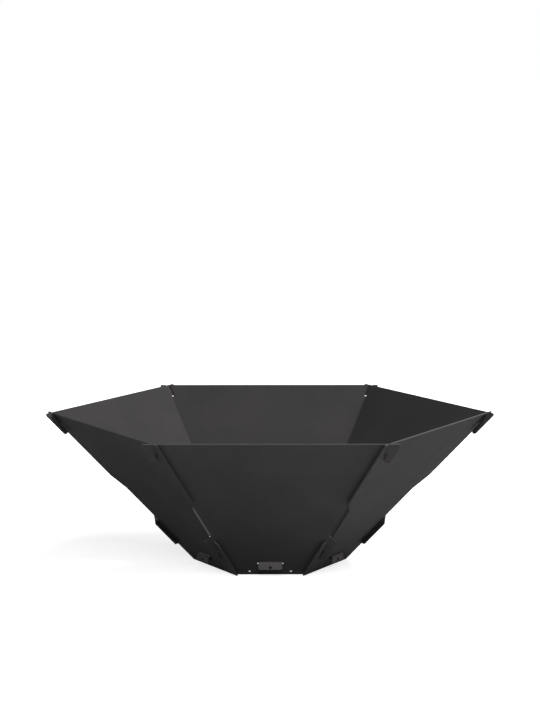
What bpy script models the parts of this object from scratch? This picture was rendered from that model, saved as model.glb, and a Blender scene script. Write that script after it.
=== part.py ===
"""Flat-pack hexagonal fire pit, cut and bent from sheet steel.

Six trapezoid panels lean outwards round a hexagonal base plate. Three of them
carry hooks and three carry slots, in turn. At each corner the two sheets cross
in two lap joints, one under the rim and one above the foot, so that no fastener
is needed. The base plate sends a tab through a low slot in each panel, and the
tab's lip, bent down outside, holds the panel on. A panel is hooked over its lip
while it lies flat, and is then swung up.

The origin is on the pit's axis, on the ground. Units are metres.
"""

import math

import bmesh
import bpy
from mathutils import Matrix, Vector

MM = 0.001

# Panels in the order that they follow each other, from the back round by the left.
# Slotted ones and ones with hooks take turns, and the slotted back panel is the first.
PANELS = ("back_panel", "back_left_panel", "front_left_panel",
          "front_panel", "front_right_panel", "back_right_panel")
FIRST_FACING = math.radians(90)

# Bowl, measured on the outer faces of its panels
RIM_SIDE = 300 * MM
FOOT_SIDE = 100 * MM
WALL_ANGLE = math.radians(50)
SHEET = 2 * MM

# Room between pieces that touch, and between the ends of two crossing slots at the rim and foot
CLEARANCE = 0.3 * MM
RIM_LAP_GAP = 1.5 * MM
FOOT_LAP_GAP = 3 * MM

# Upper lap joint, measured down the sheet from the rim
BRIDGE_DEPTH = 18 * MM
EAR_LENGTH = 18.5 * MM
EAR_WIDTH = 9.5 * MM
EAR_SLACK = 2.3 * MM
EAR_CORNER = 3 * MM

# Lower lap joint, measured up the sheet from the foot
HOOK_END_HEIGHT = 32.5 * MM
HOOK_SLOT_DEPTH = 20 * MM
HOOK_WIDTH = 9.2 * MM
HOOK_NECK = 17 * MM
HOOK_SLOPE = 14 * MM
FINGER_WIDTH = 8 * MM
FINGER_LENGTH = 15.5 * MM
FINGER_SLOPE = 8.5 * MM

# Recess that lets a hook drop into its slot
RECESS_DEPTH = 2.5 * MM
RECESS_LENGTH = 54.5 * MM
RECESS_LEAD = 6 * MM
RECESS_STEP = 20.5 * MM

# Base plate and its bent tabs
PLATE_TOP = 20.7 * MM
TAB_WIDTH = 32 * MM
LIP_DROP = 10 * MM
LIP_CORNER = 2.5 * MM
LIP_HOLE_RADIUS = 2 * MM
LIP_HOLE_RISE = 3 * MM
BEND_RADIUS = 1 * MM

# Slot that a tab passes through, with room at its sides and, to hook the lip in, under the tab
TAB_SLACK = 1.5 * MM
HOOKING_ROOM = 1.5 * MM
TAB_SLOT_CORNER = 0.6 * MM

# Pair of holes under each tab's slot
FOOT_HOLE_RADIUS = 2 * MM
FOOT_HOLE_SPACING = 55.6 * MM
FOOT_HOLE_HEIGHT = 6 * MM

# Rounding of the cut corners
CORNER = 1 * MM
POINT_CORNER = 0.4 * MM

# Fineness of the round stretches
ARC_STEP = math.radians(18)
BEND_STEPS = 6
LIP_CORNER_STEPS = 4
HOLE_SIDES = 20
SAME_POINT = 0.01 * MM
CUTTER_REACH = 4 * MM

# Heat-resistant coat on each kind of piece: colour, roughness and metallic value
HOOK_PANEL_COAT = ((0.045, 0.044, 0.045), 0.95, 0)
SLOTTED_PANEL_COAT = ((0.048, 0.047, 0.048), 0.95, 0)
BASE_PLATE_COAT = ((0.075, 0.072, 0.071), 0.92, 0)

# Shape of the bowl, worked out from its sizes
SIDES = len(PANELS)
SIDE_TURN = 2 * math.pi / SIDES
APOTHEM_PER_SIDE = 0.5 / math.tan(math.pi / SIDES)
FOOT_APOTHEM = FOOT_SIDE * APOTHEM_PER_SIDE
SLANT = (RIM_SIDE - FOOT_SIDE) * APOTHEM_PER_SIDE / math.cos(WALL_ANGLE)
TAPER = (RIM_SIDE - FOOT_SIDE) / 2 / SLANT
SEAM_STRETCH = math.hypot(1, TAPER)
WALL_RISE = math.sin(WALL_ANGLE)
WALL_RUN = math.cos(WALL_ANGLE)

# Room that one sheet takes up where it crosses its neighbour, inside and outside the corner
FOLD = math.acos(WALL_RISE ** 2 * math.cos(SIDE_TURN) + WALL_RUN ** 2)
LAP_INSIDE = SHEET / math.sin(FOLD) + CLEARANCE
LAP_OUTSIDE = SHEET / math.tan(FOLD) + CLEARANCE

# Heights up the sheet where pieces meet
HOOK_SLOT_TOP = HOOK_END_HEIGHT + HOOK_SLOT_DEPTH
LOWER_SLOT_FLOOR = HOOK_SLOT_TOP - FOOT_LAP_GAP
RIM_SLOT_FLOOR = SLANT - BRIDGE_DEPTH - RIM_LAP_GAP
TAB_SLOT_TOP = (PLATE_TOP + CLEARANCE) / WALL_RISE
TAB_SLOT_BOTTOM = (PLATE_TOP - SHEET - SHEET * WALL_RUN) / WALL_RISE - HOOKING_ROOM

# Base plate, inside the panels, and its lips, outside them
PLATE_APOTHEM = (FOOT_APOTHEM + (PLATE_TOP - SHEET) * WALL_RUN / WALL_RISE
                 - SHEET / WALL_RISE - CLEARANCE)
LIP_APOTHEM = (FOOT_APOTHEM + PLATE_TOP * WALL_RUN / WALL_RISE
               + CLEARANCE + SHEET / 2)


def at_seam(across, up):
    """Point of a panel near its right-hand seam.

    across is the distance past the corner line, square to it, and up is the
    distance up the sheet from the foot.
    """
    return (FOOT_SIDE / 2 + up * TAPER + across * SEAM_STRETCH, up)


def arc(centre, radius, start, end):
    """Points on a round stretch, from one angle to another."""
    steps = max(1, round(abs(end - start) / ARC_STEP))
    turns = [start + (end - start) * step / steps for step in range(steps + 1)]
    return [(centre[0] + radius * math.cos(turn), centre[1] + radius * math.sin(turn))
            for turn in turns]


def rounded(corners):
    """Closed outline through (point, radius) corners, each of them rounded."""
    outline = []
    for index, (point, radius) in enumerate(corners):
        corner = Vector(point)
        back = (Vector(corners[index - 1][0]) - corner).normalized()
        ahead = (Vector(corners[(index + 1) % len(corners)][0]) - corner).normalized()
        half_angle = back.angle(ahead) / 2
        centre = corner + (back + ahead).normalized() * radius / math.sin(half_angle)
        first = corner + back * radius / math.tan(half_angle) - centre
        last = corner + ahead * radius / math.tan(half_angle) - centre
        start = math.atan2(first.y, first.x)
        sweep = math.remainder(math.atan2(last.y, last.x) - start, 2 * math.pi)
        for spot in arc(centre, radius, start, start + sweep):
            if not outline or math.dist(outline[-1], spot) > SAME_POINT:
                outline.append(spot)
    return outline


def both_sides(right_half):
    """Whole list of corners from its right half, which runs from the foot to the rim."""
    left_half = [((-across, up), radius) for (across, up), radius in reversed(right_half)]
    return right_half + left_half


def hook_panel_outline():
    """Panel with an ear at each end of its rim and a hook low on each side."""
    hook_out = LAP_OUTSIDE + HOOK_WIDTH
    shoulder = HOOK_SLOT_TOP + HOOK_NECK
    bridge = SLANT - BRIDGE_DEPTH
    ear_in = LAP_OUTSIDE + EAR_SLACK
    ear_out = ear_in + EAR_WIDTH
    ear_end = bridge - EAR_LENGTH
    return rounded(both_sides([
        (at_seam(-LAP_INSIDE, 0), POINT_CORNER),
        (at_seam(-LAP_INSIDE, HOOK_SLOT_TOP), CORNER),
        (at_seam(LAP_OUTSIDE, HOOK_SLOT_TOP), CORNER),
        (at_seam(LAP_OUTSIDE, HOOK_END_HEIGHT), CORNER),
        (at_seam(hook_out, HOOK_END_HEIGHT), POINT_CORNER),
        (at_seam(hook_out, shoulder), CORNER),
        (at_seam(-LAP_INSIDE, shoulder + HOOK_SLOPE), CORNER),
        (at_seam(-LAP_INSIDE, bridge), CORNER),
        (at_seam(ear_in, bridge), CORNER),
        (at_seam(ear_in, ear_end), EAR_WIDTH / 2),
        (at_seam(ear_out, ear_end), EAR_WIDTH / 2),
        (at_seam(ear_out, SLANT), EAR_CORNER),
    ]))


def slotted_panel_outline():
    """Panel with a slot in its rim and, under a recess, a slot low on each side."""
    edge = LAP_OUTSIDE + FINGER_WIDTH
    recess = -(LAP_INSIDE + RECESS_DEPTH)
    finger_side = LOWER_SLOT_FLOOR + FINGER_LENGTH
    finger_top = finger_side + FINGER_SLOPE
    recess_foot = finger_top + RECESS_LEAD
    recess_head = recess_foot + RECESS_LENGTH
    return rounded(both_sides([
        (at_seam(edge, 0), POINT_CORNER),
        (at_seam(edge, finger_side), CORNER),
        (at_seam(LAP_OUTSIDE, finger_top), CORNER),
        (at_seam(LAP_OUTSIDE, LOWER_SLOT_FLOOR), CORNER),
        (at_seam(-LAP_INSIDE, LOWER_SLOT_FLOOR), CORNER),
        (at_seam(-LAP_INSIDE, finger_top), CORNER),
        (at_seam(recess, recess_foot), CORNER),
        (at_seam(recess, recess_head), CORNER),
        (at_seam(edge, recess_head + RECESS_STEP), CORNER),
        (at_seam(edge, SLANT), CORNER),
        (at_seam(LAP_OUTSIDE, SLANT), CORNER),
        (at_seam(LAP_OUTSIDE, RIM_SLOT_FLOOR), CORNER),
        (at_seam(-LAP_INSIDE, RIM_SLOT_FLOOR), CORNER),
        (at_seam(-LAP_INSIDE, SLANT), CORNER),
    ]))


def tab_slot_outline():
    """Slot for a tab, square to the sheet's foot."""
    half_width = TAB_WIDTH / 2 + TAB_SLACK
    return rounded(both_sides([
        ((half_width, TAB_SLOT_BOTTOM), TAB_SLOT_CORNER),
        ((half_width, TAB_SLOT_TOP), TAB_SLOT_CORNER),
    ]))


def foot_hole_outlines():
    """Pair of round holes near the foot."""
    holes = []
    for side in (-1, 1):
        centre = (side * FOOT_HOLE_SPACING / 2, FOOT_HOLE_HEIGHT)
        holes.append(arc(centre, FOOT_HOLE_RADIUS, 0, 2 * math.pi)[:-1])
    return holes


def coated_steel(name, coat):
    """Steel of one piece under its dark, matt coat."""
    colour, roughness, metallic = coat
    material = bpy.data.materials.new(name + "_coat")
    material.use_nodes = True
    material.diffuse_color = (*colour, 1)
    shader = material.node_tree.nodes["Principled BSDF"]
    shader.inputs["Base Color"].default_value = (*colour, 1)
    shader.inputs["Roughness"].default_value = roughness
    shader.inputs["Metallic"].default_value = metallic
    return material


def sheet_curve(name, outlines):
    """Flat sheet inside the first closed outline, with the others cut out of it."""
    curve = bpy.data.curves.new(name, "CURVE")
    curve.dimensions = "2D"
    curve.fill_mode = "BOTH"
    curve.extrude = SHEET / 2
    for outline in outlines:
        spline = curve.splines.new("POLY")
        spline.points.add(len(outline) - 1)
        for point, (across, up) in zip(spline.points, outline):
            point.co = (across, up, 0, 1)
        spline.use_cyclic_u = True
    return curve


def add_panel(name, facing, outline, coat, collection):
    """Stand one panel on the ground, leaning out the way it faces."""
    curve = sheet_curve(name, [outline, tab_slot_outline()] + foot_hole_outlines())
    curve.materials.append(coated_steel(name, coat))
    panel = bpy.data.objects.new(name, curve)
    collection.objects.link(panel)
    from_axis = FOOT_APOTHEM - SHEET / 2 * WALL_RISE
    panel.location = (from_axis * math.cos(facing), from_axis * math.sin(facing),
                      SHEET / 2 * WALL_RUN)
    panel.rotation_euler = (math.pi - WALL_ANGLE, 0, facing + math.pi / 2)


def add_panels(collection):
    """Stand the panels round the axis, slotted ones and ones with hooks in turn."""
    kinds = ((slotted_panel_outline(), SLOTTED_PANEL_COAT),
             (hook_panel_outline(), HOOK_PANEL_COAT))
    for index, name in enumerate(PANELS):
        outline, coat = kinds[index % len(kinds)]
        add_panel(name, FIRST_FACING + index * SIDE_TURN, outline, coat, collection)


def tab_path():
    """Distances from the axis and heights that a tab's edge passes, to the end of its lip."""
    radius = BEND_RADIUS + SHEET / 2
    run_end = LIP_APOTHEM - radius
    bend_middle = PLATE_TOP - SHEET / 2 - radius
    turns = [math.pi / 2 * step / BEND_STEPS for step in range(BEND_STEPS + 1)]
    path = [(run_end + radius * math.sin(turn), bend_middle + radius * math.cos(turn))
            for turn in turns]
    return path + [(LIP_APOTHEM, PLATE_TOP - LIP_DROP)]


def draw_tab(bm, root, path):
    """Draw a tab out of its root along a path, and return the two ends of its lip."""
    outwards = (root.verts[0].co + root.verts[1].co).xy.normalized().to_3d()
    edge = root
    here = (PLATE_APOTHEM, PLATE_TOP - SHEET / 2)
    for stop in path:
        made = bmesh.ops.extrude_edge_only(bm, edges=[edge])["geom"]
        corners = [item for item in made if isinstance(item, bmesh.types.BMVert)]
        edge = bm.edges.get(corners)
        step = outwards * (stop[0] - here[0]) + Vector((0, 0, stop[1] - here[1]))
        bmesh.ops.translate(bm, verts=corners, vec=step)
        here = stop
    return corners


def plate_surface():
    """Middle surface of the base plate, with its tabs drawn out and bent down."""
    bm = bmesh.new()
    upright = Matrix.Translation((0, 0, PLATE_TOP - SHEET / 2))
    bmesh.ops.create_circle(bm, segments=SIDES, radius=PLATE_APOTHEM / math.cos(math.pi / SIDES),
                            matrix=upright @ Matrix.Rotation(math.pi / SIDES, 4, "Z"))
    bmesh.ops.subdivide_edges(bm, edges=bm.edges[:], cuts=2)
    bm.verts.index_update()
    roots = [edge for edge in bm.edges if min(vert.index for vert in edge.verts) >= SIDES]
    for root in roots:
        middle = (root.verts[0].co + root.verts[1].co) / 2
        widening = TAB_WIDTH / root.calc_length()
        for vert in root.verts:
            vert.co = middle + (vert.co - middle) * widening
    bmesh.ops.contextual_create(bm, geom=bm.edges[:])
    lip_corners = []
    for root in roots:
        lip_corners += draw_tab(bm, root, tab_path())
    bmesh.ops.bevel(bm, geom=lip_corners, offset=LIP_CORNER, segments=LIP_CORNER_STEPS,
                    profile=0.5, affect="VERTICES")
    bmesh.ops.recalc_face_normals(bm, faces=bm.faces[:])
    surface = bpy.data.meshes.new("base_plate")
    bm.to_mesh(surface)
    bm.free()
    return surface


def add_lip_hole_cutter(collection):
    """Rods that cut the hole in each lip."""
    bm = bmesh.new()
    lip = Matrix.Translation((LIP_APOTHEM, 0, PLATE_TOP - LIP_DROP + LIP_HOLE_RISE))
    across_lip = lip @ Matrix.Rotation(math.pi / 2, 4, "Y")
    for index in range(SIDES):
        facing = Matrix.Rotation(FIRST_FACING + index * SIDE_TURN, 4, "Z")
        bmesh.ops.create_cone(bm, cap_ends=True, segments=HOLE_SIDES, radius1=LIP_HOLE_RADIUS,
                              radius2=LIP_HOLE_RADIUS, depth=SHEET + CUTTER_REACH,
                              matrix=facing @ across_lip)
    mesh = bpy.data.meshes.new("lip_hole_cutter")
    bm.to_mesh(mesh)
    bm.free()
    cutter = bpy.data.objects.new("lip_hole_cutter", mesh)
    cutter.display_type = "WIRE"
    cutter.hide_render = True
    collection.objects.link(cutter)
    return cutter


def add_base_plate(collection, cutters):
    """Hexagonal plate that carries the fire, one sheet with its tabs."""
    surface = plate_surface()
    surface.materials.append(coated_steel("base_plate", BASE_PLATE_COAT))
    plate = bpy.data.objects.new("base_plate", surface)
    collection.objects.link(plate)
    thickness = plate.modifiers.new("sheet", "SOLIDIFY")
    thickness.thickness = SHEET
    thickness.offset = 0
    thickness.use_even_offset = True
    holes = plate.modifiers.new("lip_holes", "BOOLEAN")
    holes.operation = "DIFFERENCE"
    holes.solver = "EXACT"
    holes.object = add_lip_hole_cutter(cutters)


def new_collection(name):
    """Collection in the scene."""
    collection = bpy.data.collections.new(name)
    bpy.context.scene.collection.children.link(collection)
    return collection


def clear_scene():
    """Remove the objects that the scene starts with."""
    for leftover in list(bpy.data.objects):
        bpy.data.objects.remove(leftover, do_unlink=True)


def main():
    """Build the fire pit."""
    clear_scene()
    fire_pit = new_collection("fire_pit")
    cutters = new_collection("cutters")
    add_panels(fire_pit)
    add_base_plate(fire_pit, cutters)


main()
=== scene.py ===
"""Coated look and plain studio of a hexagonal flat-pack fire pit, built on its solids.

Seven pieces of 2 mm sheet steel make the bowl: three panels with hooks, three panels with slots
and a base plate with six bent tabs. Each piece shown here is a merged copy of its solid. Its cut
edges are rounded as a coat rounds them. Its faces have the coat, its cut edges along the rim are
painted paler as a painted highlight, and its other cut edges are painted darker than the faces as
painted shade.
Lengths are metres, or millimetres where a name ends in _mm.
"""

import logging
import math
from dataclasses import dataclass
from enum import Enum

import bpy
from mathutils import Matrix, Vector


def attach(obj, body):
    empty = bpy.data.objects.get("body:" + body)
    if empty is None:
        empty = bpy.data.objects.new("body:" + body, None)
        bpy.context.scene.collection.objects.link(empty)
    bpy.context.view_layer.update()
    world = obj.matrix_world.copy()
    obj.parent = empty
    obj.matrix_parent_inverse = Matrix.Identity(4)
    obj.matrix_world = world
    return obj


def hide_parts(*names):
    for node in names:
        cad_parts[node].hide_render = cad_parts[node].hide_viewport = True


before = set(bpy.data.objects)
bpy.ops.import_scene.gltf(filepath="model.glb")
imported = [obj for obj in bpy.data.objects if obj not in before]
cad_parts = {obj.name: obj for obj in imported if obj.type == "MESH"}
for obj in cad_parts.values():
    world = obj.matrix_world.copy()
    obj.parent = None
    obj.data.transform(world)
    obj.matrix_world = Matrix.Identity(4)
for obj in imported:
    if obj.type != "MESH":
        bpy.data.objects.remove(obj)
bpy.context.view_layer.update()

LOG = logging.getLogger("fire_pit")
MM = 0.001
# A direction within 45 degrees of another has a greater dot product with it than this.
SLANTED = math.cos(math.radians(45))
# Slack for telling which face of a sheet a facet lies on.
NEARLY_ON = 0.05 * MM
# Most of a noise texture lies between these two values.
NOISE_LOW, NOISE_HIGH = 0.3, 0.7
# Narrower, so that grooves stand out from what lies between them.
GROOVE_LOW, GROOVE_HIGH = 0.35, 0.65


class Slot(Enum):
    """Material slots of the record that the pieces take their finish from."""

    HOOK_PANEL = "hook_panel_steel"
    SLOTTED_PANEL = "slotted_panel_steel"
    BASE_PLATE = "base_plate_steel"


class PanelKind(Enum):
    """The two kinds of panel, which follow each other round the bowl."""

    HOOKED = "hooked"
    SLOTTED = "slotted"


def linear(shade: str) -> tuple[float, float, float, float]:
    """Turn an sRGB hex colour into a linear one, by the standard's own curve.

    Args:
        shade: Colour as six hex digits after a #.

    Returns:
        Red, green, blue and an alpha of 1.
    """
    channels = [int(shade[start:start + 2], 16) / 255 for start in (1, 3, 5)]
    red, green, blue = [value / 12.92 if value <= 0.04045 else ((value + 0.055) / 1.055) ** 2.4
                        for value in channels]
    return (red, green, blue, 1.0)


def per_metre(size_mm: float) -> float:
    """Texture scale whose features are about the given size in millimetres."""
    return 1 / (size_mm * MM)


def add_node(tree: bpy.types.NodeTree, kind: str, settings: dict[str, object] | None = None,
             inputs: dict[str | int, object] | None = None) -> bpy.types.Node:
    """Add a node with its settings and links.

    Args:
        tree: Node tree that the node goes into.
        kind: Blender's name for the kind of node.
        settings: Properties of the node, by name.
        inputs: For each input, by name or number, its value or the output that it is linked to.

    Returns:
        The new node.
    """
    node = tree.nodes.new(kind)
    for name, value in (settings or {}).items():
        setattr(node, name, value)
    for key, value in (inputs or {}).items():
        if isinstance(value, bpy.types.NodeSocket):
            tree.links.new(value, node.inputs[key])
        else:
            node.inputs[key].default_value = value
    return node


def empty_material(name: str) -> bpy.types.Material:
    """Make a node material with nothing in it yet."""
    material = bpy.data.materials.new(name)
    material.use_nodes = True
    material.node_tree.nodes.clear()
    return material


@dataclass(frozen=True)
class HeatResistantCoat:
    """Silicone-based heat-resistant paint, sprayed on blasted steel sheet and baked.

    To the eye it is near black, even and matt. Slow clouds in its shade come from the spray
    passes, and a fine peel breaks up what little gloss it has.

    Attributes:
        name: Name of the material.
        deep_shade: Colour in the darker clouds.
        pale_shade: Colour in the paler clouds.
        roughness: Middle roughness of the face.
        roughness_spread: How far the roughness strays from its middle.
        gloss_level: Share of light that the face mirrors, where 0.5 is a plain clear coat.
        cloud_mm: Size of the clouds of shade.
        gloss_patch_mm: Size of the patches of more and less gloss.
        peel_mm: Width of one bump of the peel. A real one is 1 to 2 mm wide, and it is drawn
            wider so that it shows.
        peel_height_mm: Height of the peel's bumps.
    """

    name: str
    deep_shade: str
    pale_shade: str
    roughness: float = 0.95
    roughness_spread: float = 0.04
    gloss_level: float = 0.05
    cloud_mm: float = 70
    gloss_patch_mm: float = 14
    peel_mm: float = 2.6
    peel_height_mm: float = 0.03

    def material(self) -> bpy.types.Material:
        """Build the material.

        Returns:
            The material, with its patterns on Object coordinates.
        """
        material = empty_material(self.name)
        tree = material.node_tree
        place = add_node(tree, "ShaderNodeTexCoord").outputs["Object"]
        clouds = add_node(tree, "ShaderNodeTexNoise", inputs={
            "Vector": place, "Scale": per_metre(self.cloud_mm), "Detail": 3, "Roughness": 0.55})
        shade = add_node(tree, "ShaderNodeValToRGB", inputs={"Fac": clouds.outputs["Fac"]})
        shade.color_ramp.elements[0].position = NOISE_LOW
        shade.color_ramp.elements[0].color = linear(self.deep_shade)
        shade.color_ramp.elements[1].position = NOISE_HIGH
        shade.color_ramp.elements[1].color = linear(self.pale_shade)
        patches = add_node(tree, "ShaderNodeTexNoise", inputs={
            "Vector": place, "Scale": per_metre(self.gloss_patch_mm), "Detail": 4})
        gloss = add_node(tree, "ShaderNodeMapRange", inputs={
            "Value": patches.outputs["Fac"], "From Min": NOISE_LOW, "From Max": NOISE_HIGH,
            "To Min": self.roughness - self.roughness_spread,
            "To Max": self.roughness + self.roughness_spread})
        peel = add_node(tree, "ShaderNodeTexNoise", inputs={
            "Vector": place, "Scale": per_metre(self.peel_mm), "Detail": 2})
        bumps = add_node(tree, "ShaderNodeBump", inputs={
            "Height": peel.outputs["Fac"], "Distance": self.peel_height_mm * MM})
        coat = add_node(tree, "ShaderNodeBsdfPrincipled", inputs={
            "Base Color": shade.outputs["Color"], "Roughness": gloss.outputs["Result"],
            "Normal": bumps.outputs["Normal"], "Specular IOR Level": self.gloss_level})
        add_node(tree, "ShaderNodeOutputMaterial", inputs={"Surface": coat.outputs["BSDF"]})
        return material


@dataclass(frozen=True)
class CoatedCutEdge:
    """Laser-cut edge of the sheet under the same paint, which is thinner there.

    To the eye it is a little less matt than the faces, and faint grooves that the laser left
    run straight through the sheet. How pale it is paints light: the rim's is paler as a painted
    highlight, and the other edges' is darker than the faces as painted shade.

    Attributes:
        name: Name of the material.
        deep_shade: Colour between the grooves.
        pale_shade: Colour along the grooves.
        roughness: Roughness of the edge.
        gloss_level: Share of light that the edge mirrors, where 0.5 is a plain clear coat.
        groove_mm: Width of one groove, drawn about twice as wide as a real one so that it shows.
        groove_depth_mm: Depth of a groove.
        along_sheet: How much longer than wide a groove is, through the sheet.
    """

    name: str
    deep_shade: str
    pale_shade: str
    roughness: float = 0.75
    gloss_level: float = 0.15
    groove_mm: float = 0.9
    groove_depth_mm: float = 0.03
    along_sheet: float = 20

    def material(self, suffix: str, sheet_turn: tuple[float, float, float]) -> bpy.types.Material:
        """Build the material for one piece.

        Args:
            suffix: End of the material's name, for the piece.
            sheet_turn: Rotation that brings the piece's Z axis through the sheet.

        Returns:
            The material, with its grooves on turned Object coordinates.
        """
        material = empty_material(f"{self.name}_{suffix}")
        tree = material.node_tree
        place = add_node(tree, "ShaderNodeTexCoord").outputs["Object"]
        through = add_node(tree, "ShaderNodeMapping", {"vector_type": "TEXTURE"}, {
            "Vector": place, "Rotation": sheet_turn, "Scale": (1, 1, self.along_sheet)})
        grooves = add_node(tree, "ShaderNodeTexNoise", inputs={
            "Vector": through.outputs["Vector"], "Scale": per_metre(self.groove_mm),
            "Detail": 1})
        shade = add_node(tree, "ShaderNodeValToRGB", inputs={"Fac": grooves.outputs["Fac"]})
        shade.color_ramp.elements[0].position = GROOVE_LOW
        shade.color_ramp.elements[0].color = linear(self.deep_shade)
        shade.color_ramp.elements[1].position = GROOVE_HIGH
        shade.color_ramp.elements[1].color = linear(self.pale_shade)
        bumps = add_node(tree, "ShaderNodeBump", inputs={
            "Height": grooves.outputs["Fac"], "Distance": self.groove_depth_mm * MM})
        edge = add_node(tree, "ShaderNodeBsdfPrincipled", inputs={
            "Base Color": shade.outputs["Color"], "Roughness": self.roughness,
            "Normal": bumps.outputs["Normal"], "Specular IOR Level": self.gloss_level})
        add_node(tree, "ShaderNodeOutputMaterial", inputs={"Surface": edge.outputs["BSDF"]})
        return material


HOOK_PANEL_COAT = HeatResistantCoat("heat_resistant_coat_hook_panels", "#3a393a", "#3f3d3e")
SLOTTED_PANEL_COAT = HeatResistantCoat("heat_resistant_coat_slotted_panels", "#3c3b3c", "#413f40")
# The base plate has the same coat as the panels, painted paler: a painted highlight for the light
# that its upright lips catch.
BASE_PLATE_COAT_PAINTED_HIGHLIGHT = HeatResistantCoat("heat_resistant_coat_base_plate_painted_highlight", "#5c5a5a", "#625f5e",
                                     roughness=0.92, gloss_level=0.12)
# The cut edges other than the rim are painted darker than the faces: painted shade for the seams
# and edges that face down or sideways, away from the light.
CUT_EDGE_PAINTED_SHADE = CoatedCutEdge("laser_cut_edge_painted_shade", "#2c2b2c", "#333233")
# The cut edges that point up the sheet, along the rim, are painted paler than the other edges: a
# painted highlight for the light that falls on them from above.
RIM_EDGE_PAINTED_HIGHLIGHT = CoatedCutEdge("laser_cut_rim_painted_highlight", "#3e3d3e", "#474647")


@dataclass(frozen=True)
class SheetPiece:
    """One piece of coated sheet steel, made from a merged copy of its solid.

    Attributes:
        node: Name of the solid that the piece stands for.
        slot: Material slot of the record.
        coat: Finish of the sheet's faces.
        merge_distance: Distance under which points of the solid's triangles become one.
        flat_under: Angle under which neighbouring triangles become one flat facet.
        edge_round: Radius that the coat leaves on the sheet's cut edges.
        edge_steps: Facets across one rounded edge.
        edge_over: Angle over which an edge is rounded.
        smooth_under: Angle under which neighbouring facets are shaded as one surface.
    """

    node: str
    slot: Slot
    coat: HeatResistantCoat
    merge_distance: float = 0.005 * MM
    flat_under: float = math.radians(1)
    edge_round: float = 0.25 * MM
    edge_steps: int = 3
    edge_over: float = math.radians(50)
    smooth_under: float = math.radians(40)

    def sheet_turn(self) -> tuple[float, float, float]:
        """Rotation that brings the Z axis through the sheet."""
        return (0.0, 0.0, 0.0)

    def is_cut(self, centre: Vector, normal: Vector) -> bool:
        """Whether a facet belongs to a cut edge. A flat sheet that lies level is assumed."""
        return abs(normal.z) < SLANTED

    def is_rim(self, normal: Vector) -> bool:
        """Whether a facet of a cut edge points up along the sheet. A level sheet has none."""
        return False

    def build(self) -> bpy.types.Object:
        """Make the piece, dress it and hang it on the frame.

        Returns:
            The finished piece.
        """
        piece = self.merged_copy()
        self.round_edges(piece)
        self.dress(piece)
        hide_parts(self.node)
        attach(piece, "root")
        LOG.info("%s: %d facets, slot %s", piece.name, len(piece.data.polygons), self.slot.value)
        return piece

    def merged_copy(self) -> bpy.types.Object:
        """Copy the solid, merge its loose triangles and clear the lines across its flat faces.

        Returns:
            The copy, selected and active.
        """
        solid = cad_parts[self.node]
        piece = bpy.data.objects.new(f"{self.node}_coated", solid.data.copy())
        bpy.context.scene.collection.objects.link(piece)
        bpy.ops.object.select_all(action="DESELECT")
        piece.select_set(True)
        bpy.context.view_layer.objects.active = piece
        bpy.ops.object.mode_set(mode="EDIT")
        bpy.ops.mesh.select_all(action="SELECT")
        bpy.ops.mesh.remove_doubles(threshold=self.merge_distance)
        bpy.ops.mesh.dissolve_limited(angle_limit=self.flat_under)
        bpy.ops.object.mode_set(mode="OBJECT")
        return piece

    def round_edges(self, piece: bpy.types.Object) -> None:
        """Round the cut edges and shade the piece so that its faces stay flat.

        Args:
            piece: The merged copy.
        """
        rounding = piece.modifiers.new("coat_on_edges", "BEVEL")
        rounding.width = self.edge_round
        rounding.segments = self.edge_steps
        rounding.limit_method = "ANGLE"
        rounding.angle_limit = self.edge_over
        rounding.use_clamp_overlap = False
        bpy.ops.object.modifier_apply(modifier=rounding.name)
        bpy.ops.object.shade_smooth_by_angle(angle=self.smooth_under)
        flatness = piece.modifiers.new("flat_faces", "WEIGHTED_NORMAL")
        flatness.keep_sharp = True
        bpy.ops.object.modifier_apply(modifier=flatness.name)

    def dress(self, piece: bpy.types.Object) -> None:
        """Give the sheet's faces the coat, its rim a paler edge finish as painted highlight, and
        its other cut edges a darker one as painted shade.

        Args:
            piece: The rounded piece.
        """
        piece.data.materials.clear()
        piece.data.materials.append(bpy.data.materials.get(self.coat.name) or self.coat.material())
        for edge in (CUT_EDGE_PAINTED_SHADE, RIM_EDGE_PAINTED_HIGHLIGHT):
            piece.data.materials.append(edge.material(self.node, self.sheet_turn()))
        # Facets of the rim take the paler edge material, a painted highlight; other cut facets
        # take the darker one, painted shade.
        for facet in piece.data.polygons:
            if self.is_cut(facet.center, facet.normal):
                facet.material_index = 2 if self.is_rim(facet.normal) else 1


@dataclass(frozen=True)
class Panel(SheetPiece):
    """Flat panel of the bowl, leaning out the way it faces.

    Attributes:
        facing: Angle of the way that it faces, from the X axis.
        wall_angle: Angle between the sheet and the ground.
        rim_over: Share of a facet's normal that points up the sheet, over which it is rim and is
        painted paler as painted highlight. A rim's rounding is over it, and the seams' edges,
        which point down, are under it and are painted darker as painted shade.
    """

    facing: float = 0
    wall_angle: float = math.radians(50)
    rim_over: float = 0.5

    def through(self) -> Vector:
        """Direction through the sheet, out of the bowl."""
        level = math.sin(self.wall_angle)
        return Vector((level * math.cos(self.facing), level * math.sin(self.facing),
                       -math.cos(self.wall_angle)))

    def sheet_turn(self) -> tuple[float, float, float]:
        """Rotation that brings the Z axis through the sheet."""
        return tuple(self.through().to_track_quat("Z", "Y").to_euler())

    def is_cut(self, centre: Vector, normal: Vector) -> bool:
        """Whether a facet belongs to a cut edge, by the way that it points."""
        return abs(normal.dot(self.through())) < SLANTED

    def is_rim(self, normal: Vector) -> bool:
        """Whether a facet of a cut edge points up along the sheet, as the rim does."""
        level = math.cos(self.wall_angle)
        up_the_sheet = Vector((level * math.cos(self.facing), level * math.sin(self.facing),
                               math.sin(self.wall_angle)))
        return normal.dot(up_the_sheet) > self.rim_over


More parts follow.
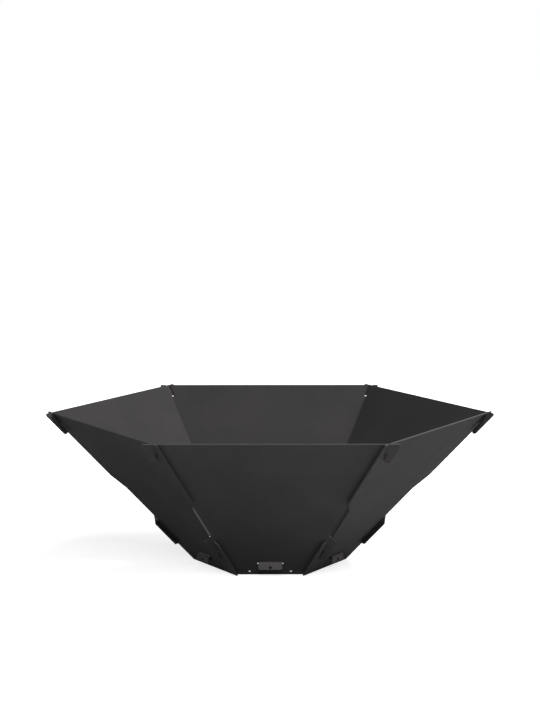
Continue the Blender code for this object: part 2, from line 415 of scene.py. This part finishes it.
@dataclass(frozen=True)
class BasePlate(SheetPiece):
    """Level plate that carries the fire, with six tabs whose lips are bent down outside.

    Attributes:
        sheet: Thickness of the sheet.
        plate_top: Height of the plate's top.
        plate_apothem: Distance from the axis to the plate's straight edges.
        lip_apothem: Distance from the axis to the middle of a lip's sheet.
        lip_drop: Height of a lip, from the plate's top to its end.
        hole_rise: Height of the lip's hole over its end.
        hole_reach: Radius round the hole's axis inside which facets belong to the hole.
        sides: Number of tabs.
        first_facing: Angle of the way that the first tab points, from the X axis.
    """

    sheet: float = 2 * MM
    plate_top: float = 20.7 * MM
    plate_apothem: float = 99.38 * MM
    lip_apothem: float = 105.27 * MM
    lip_drop: float = 10 * MM
    hole_rise: float = 3 * MM
    hole_reach: float = 2.3 * MM
    sides: int = 6
    first_facing: float = math.radians(90)

    def tab_directions(self, centre: Vector) -> tuple[Vector, Vector]:
        """Directions along and across the tab that is nearest to a point.

        Args:
            centre: The point.

        Returns:
            The level direction that the tab points in, and the level one across it.
        """
        step = 2 * math.pi / self.sides
        turn = math.atan2(centre.y, centre.x) - self.first_facing
        facing = self.first_facing + round(turn / step) * step
        outward = Vector((math.cos(facing), math.sin(facing), 0))
        return outward, Vector((-outward.y, outward.x, 0))

    def is_cut(self, centre: Vector, normal: Vector) -> bool:
        """Whether a facet belongs to a cut edge, by its place and the way that it points.

        Args:
            centre: Middle of the facet.
            normal: The way that it points.

        Returns:
            True for the sides of the plate, tabs, lips and holes.
        """
        outward, across = self.tab_directions(centre)
        reach = centre.dot(outward)
        half_sheet = self.sheet / 2
        lip_end = self.plate_top - self.lip_drop
        on_plate_edge = reach < self.plate_apothem + NEARLY_ON and abs(normal.z) < SLANTED
        on_side = abs(normal.dot(across)) > SLANTED
        on_lip_end = normal.z < -SLANTED and centre.z < lip_end + half_sheet
        from_hole = Vector((centre.dot(across), centre.z - lip_end - self.hole_rise))
        in_hole = (from_hole.length < self.hole_reach and abs(normal.dot(outward)) < SLANTED
                   and abs(reach - self.lip_apothem) < half_sheet + NEARLY_ON)
        return on_plate_edge or on_side or on_lip_end or in_hole


@dataclass(frozen=True)
class FirePit:
    """The bowl: six panels in a ring round the base plate.

    Attributes:
        nodes: Names of the panels, from the back round by the left.
        first_facing: Angle of the way that the first panel faces, from the X axis.
    """

    nodes: tuple[str, ...] = ("back_panel", "back_left_panel", "front_left_panel",
                              "front_panel", "front_right_panel", "back_right_panel")
    first_facing: float = math.radians(90)

    def panel(self, index: int) -> Panel:
        """Describe one panel of the ring.

        Args:
            index: Place of the panel in the ring. Slotted panels have the even places.

        Returns:
            The panel, not built yet.
        """
        kind = PanelKind.HOOKED if index % 2 else PanelKind.SLOTTED
        slot, coat = {PanelKind.HOOKED: (Slot.HOOK_PANEL, HOOK_PANEL_COAT),
                      PanelKind.SLOTTED: (Slot.SLOTTED_PANEL, SLOTTED_PANEL_COAT)}[kind]
        facing = self.first_facing + index * 2 * math.pi / len(self.nodes)
        return Panel(self.nodes[index], slot, coat, facing=facing)

    def build(self) -> list[bpy.types.Object]:
        """Build every piece of the pit.

        Returns:
            The finished pieces, the base plate last.
        """
        pieces = [self.panel(index).build() for index in range(len(self.nodes))]
        pieces.append(BasePlate("base_plate", Slot.BASE_PLATE, BASE_PLATE_COAT_PAINTED_HIGHLIGHT).build())
        return pieces


@dataclass(frozen=True)
class SoftBox:
    """Rectangular studio lamp aimed at the bowl.

    Attributes:
        name: Name of the lamp.
        bearing: Angle from the side of the camera round to the right, in degrees.
        elevation: Angle over the ground, in degrees.
        distance: Distance from the bowl.
        width: Width of the lamp.
        height: Height of the lamp.
        power: Power in watts.
    """

    name: str
    bearing: float
    elevation: float
    distance: float
    width: float
    height: float
    power: float

    def build(self, target: Vector) -> None:
        """Put the lamp in its place.

        Args:
            target: Point that the lamp is aimed at.
        """
        bearing, elevation = math.radians(self.bearing), math.radians(self.elevation)
        towards = Vector((math.sin(bearing) * math.cos(elevation),
                          -math.cos(bearing) * math.cos(elevation), math.sin(elevation)))
        light = bpy.data.lights.new(self.name, "AREA")
        light.shape = "RECTANGLE"
        light.size = self.width
        light.size_y = self.height
        light.energy = self.power
        lamp = bpy.data.objects.new(self.name, light)
        lamp.location = target + towards * self.distance
        lamp.rotation_euler = towards.to_track_quat("Z", "Y").to_euler()
        bpy.context.scene.collection.objects.link(lamp)


@dataclass(frozen=True)
class Studio:
    """Pale floor, soft lamps and a white surround.

    Attributes:
        floor_size: Side of the floor.
        floor_shade: Colour of the floor.
        near_lift: Light that the floor near the pit adds of its own, to the camera and in
            reflections only.
        far_lift: The same, far from the pit, where the lamps don't reach.
        near_radius: Distance from the pit up to which the near lift holds.
        far_radius: Distance from the pit from which the far lift holds.
        ambient: Strength of the surround as light.
        soft_boxes: The lamps.
        target_height: Height of the point on the pit's axis that the lamps are aimed at.
    """

    floor_size: float = 80
    floor_shade: str = "#dfdfdf"
    near_lift: float = 0.8
    far_lift: float = 1.0
    near_radius: float = 0.6
    far_radius: float = 1.6
    ambient: float = 0.03
    soft_boxes: tuple[SoftBox, ...] = (
        SoftBox("key_right", 111, 54, 2.6, 1.4, 1.2, 91),
        SoftBox("fill_front", 1, 34, 2.6, 1.4, 1.2, 32),
    )
    target_height: float = 0.12

    def build(self) -> None:
        """Build the floor, the lamps and the surround."""
        self.build_floor()
        for soft_box in self.soft_boxes:
            soft_box.build(Vector((0, 0, self.target_height)))
        self.build_surround()

    def seen_directly(self, tree: bpy.types.NodeTree) -> bpy.types.NodeSocket:
        """Output that is 1 for the camera, for reflections and through glass, and 0 for light.

        Args:
            tree: Node tree that the nodes go into.

        Returns:
            The output.
        """
        path = add_node(tree, "ShaderNodeLightPath")
        seen = add_node(tree, "ShaderNodeMath", {"operation": "MAXIMUM"}, {
            0: path.outputs["Is Camera Ray"], 1: path.outputs["Is Glossy Ray"]})
        return add_node(tree, "ShaderNodeMath", {"operation": "MAXIMUM"}, {
            0: seen.outputs[0], 1: path.outputs["Is Transmission Ray"]}).outputs[0]

    def build_floor(self) -> None:
        """Lay the floor, matt and pale, which keeps the pit's shadow."""
        bpy.ops.mesh.primitive_plane_add(size=self.floor_size, location=(0, 0, 0))
        floor = bpy.context.object
        floor.name = "studio_floor"
        material = empty_material("studio_floor_paper")
        tree = material.node_tree
        paper = add_node(tree, "ShaderNodeBsdfDiffuse", inputs={"Color": linear(self.floor_shade)})
        place = add_node(tree, "ShaderNodeTexCoord").outputs["Object"]
        reach = add_node(tree, "ShaderNodeVectorMath", {"operation": "LENGTH"}, {0: place})
        fade = add_node(tree, "ShaderNodeMapRange", inputs={
            "Value": reach.outputs["Value"], "From Min": self.near_radius,
            "From Max": self.far_radius, "To Min": self.near_lift, "To Max": self.far_lift})
        lift = add_node(tree, "ShaderNodeMath", {"operation": "MULTIPLY"}, {
            0: self.seen_directly(tree), 1: fade.outputs["Result"]})
        glow = add_node(tree, "ShaderNodeEmission", inputs={"Strength": lift.outputs[0]})
        both = add_node(tree, "ShaderNodeAddShader", inputs={
            0: paper.outputs["BSDF"], 1: glow.outputs["Emission"]})
        add_node(tree, "ShaderNodeOutputMaterial", inputs={"Surface": both.outputs["Shader"]})
        floor.data.materials.append(material)

    def build_surround(self) -> None:
        """Surround the scene with soft light that looks white."""
        world = bpy.data.worlds.new("studio_surround")
        world.use_nodes = True
        tree = world.node_tree
        tree.nodes.clear()
        strength = add_node(tree, "ShaderNodeMapRange", inputs={
            "Value": self.seen_directly(tree), "To Min": self.ambient, "To Max": 1.0})
        surround = add_node(tree, "ShaderNodeBackground", inputs={
            "Color": (1, 1, 1, 1), "Strength": strength.outputs["Result"]})
        add_node(tree, "ShaderNodeOutputWorld", inputs={"Surface": surround.outputs["Background"]})
        bpy.context.scene.world = world


@dataclass(frozen=True)
class PhotoCamera:
    """Long lens in front of the pit, a little above it and looking slightly down.

    Attributes:
        distance: Level distance from the pit's axis.
        height: Height over the ground.
        tilt: Angle below the level, in degrees.
        turn: Angle that the pit stands turned by, in degrees.
        lens_mm: Focal length.
        sensor_mm: Long side of the sensor.
    """

    distance: float = 3.220
    height: float = 0.7137
    tilt: float = 7.68
    turn: float = 0.26
    lens_mm: float = 118.95
    sensor_mm: float = 36

    def build(self) -> None:
        """Put the camera in its place and make it the scene's."""
        turn = math.radians(self.turn)
        data = bpy.data.cameras.new("photo_camera")
        data.sensor_fit = "AUTO"
        data.sensor_width = self.sensor_mm
        data.lens = self.lens_mm
        camera = bpy.data.objects.new("photo_camera", data)
        camera.location = (-self.distance * math.sin(turn), -self.distance * math.cos(turn),
                           self.height)
        camera.rotation_euler = (math.radians(90 - self.tilt), 0, -turn)
        bpy.context.scene.collection.objects.link(camera)
        bpy.context.scene.camera = camera


def main() -> None:
    """Build the fire pit, its studio and its camera."""
    logging.basicConfig(level=logging.INFO, format="%(message)s")
    bpy.context.scene.view_settings.view_transform = "Standard"
    pieces = FirePit().build()
    LOG.info("%d pieces on the frame", len(pieces))
    Studio().build()
    PhotoCamera().build()


if __name__ == "__main__":
    main()
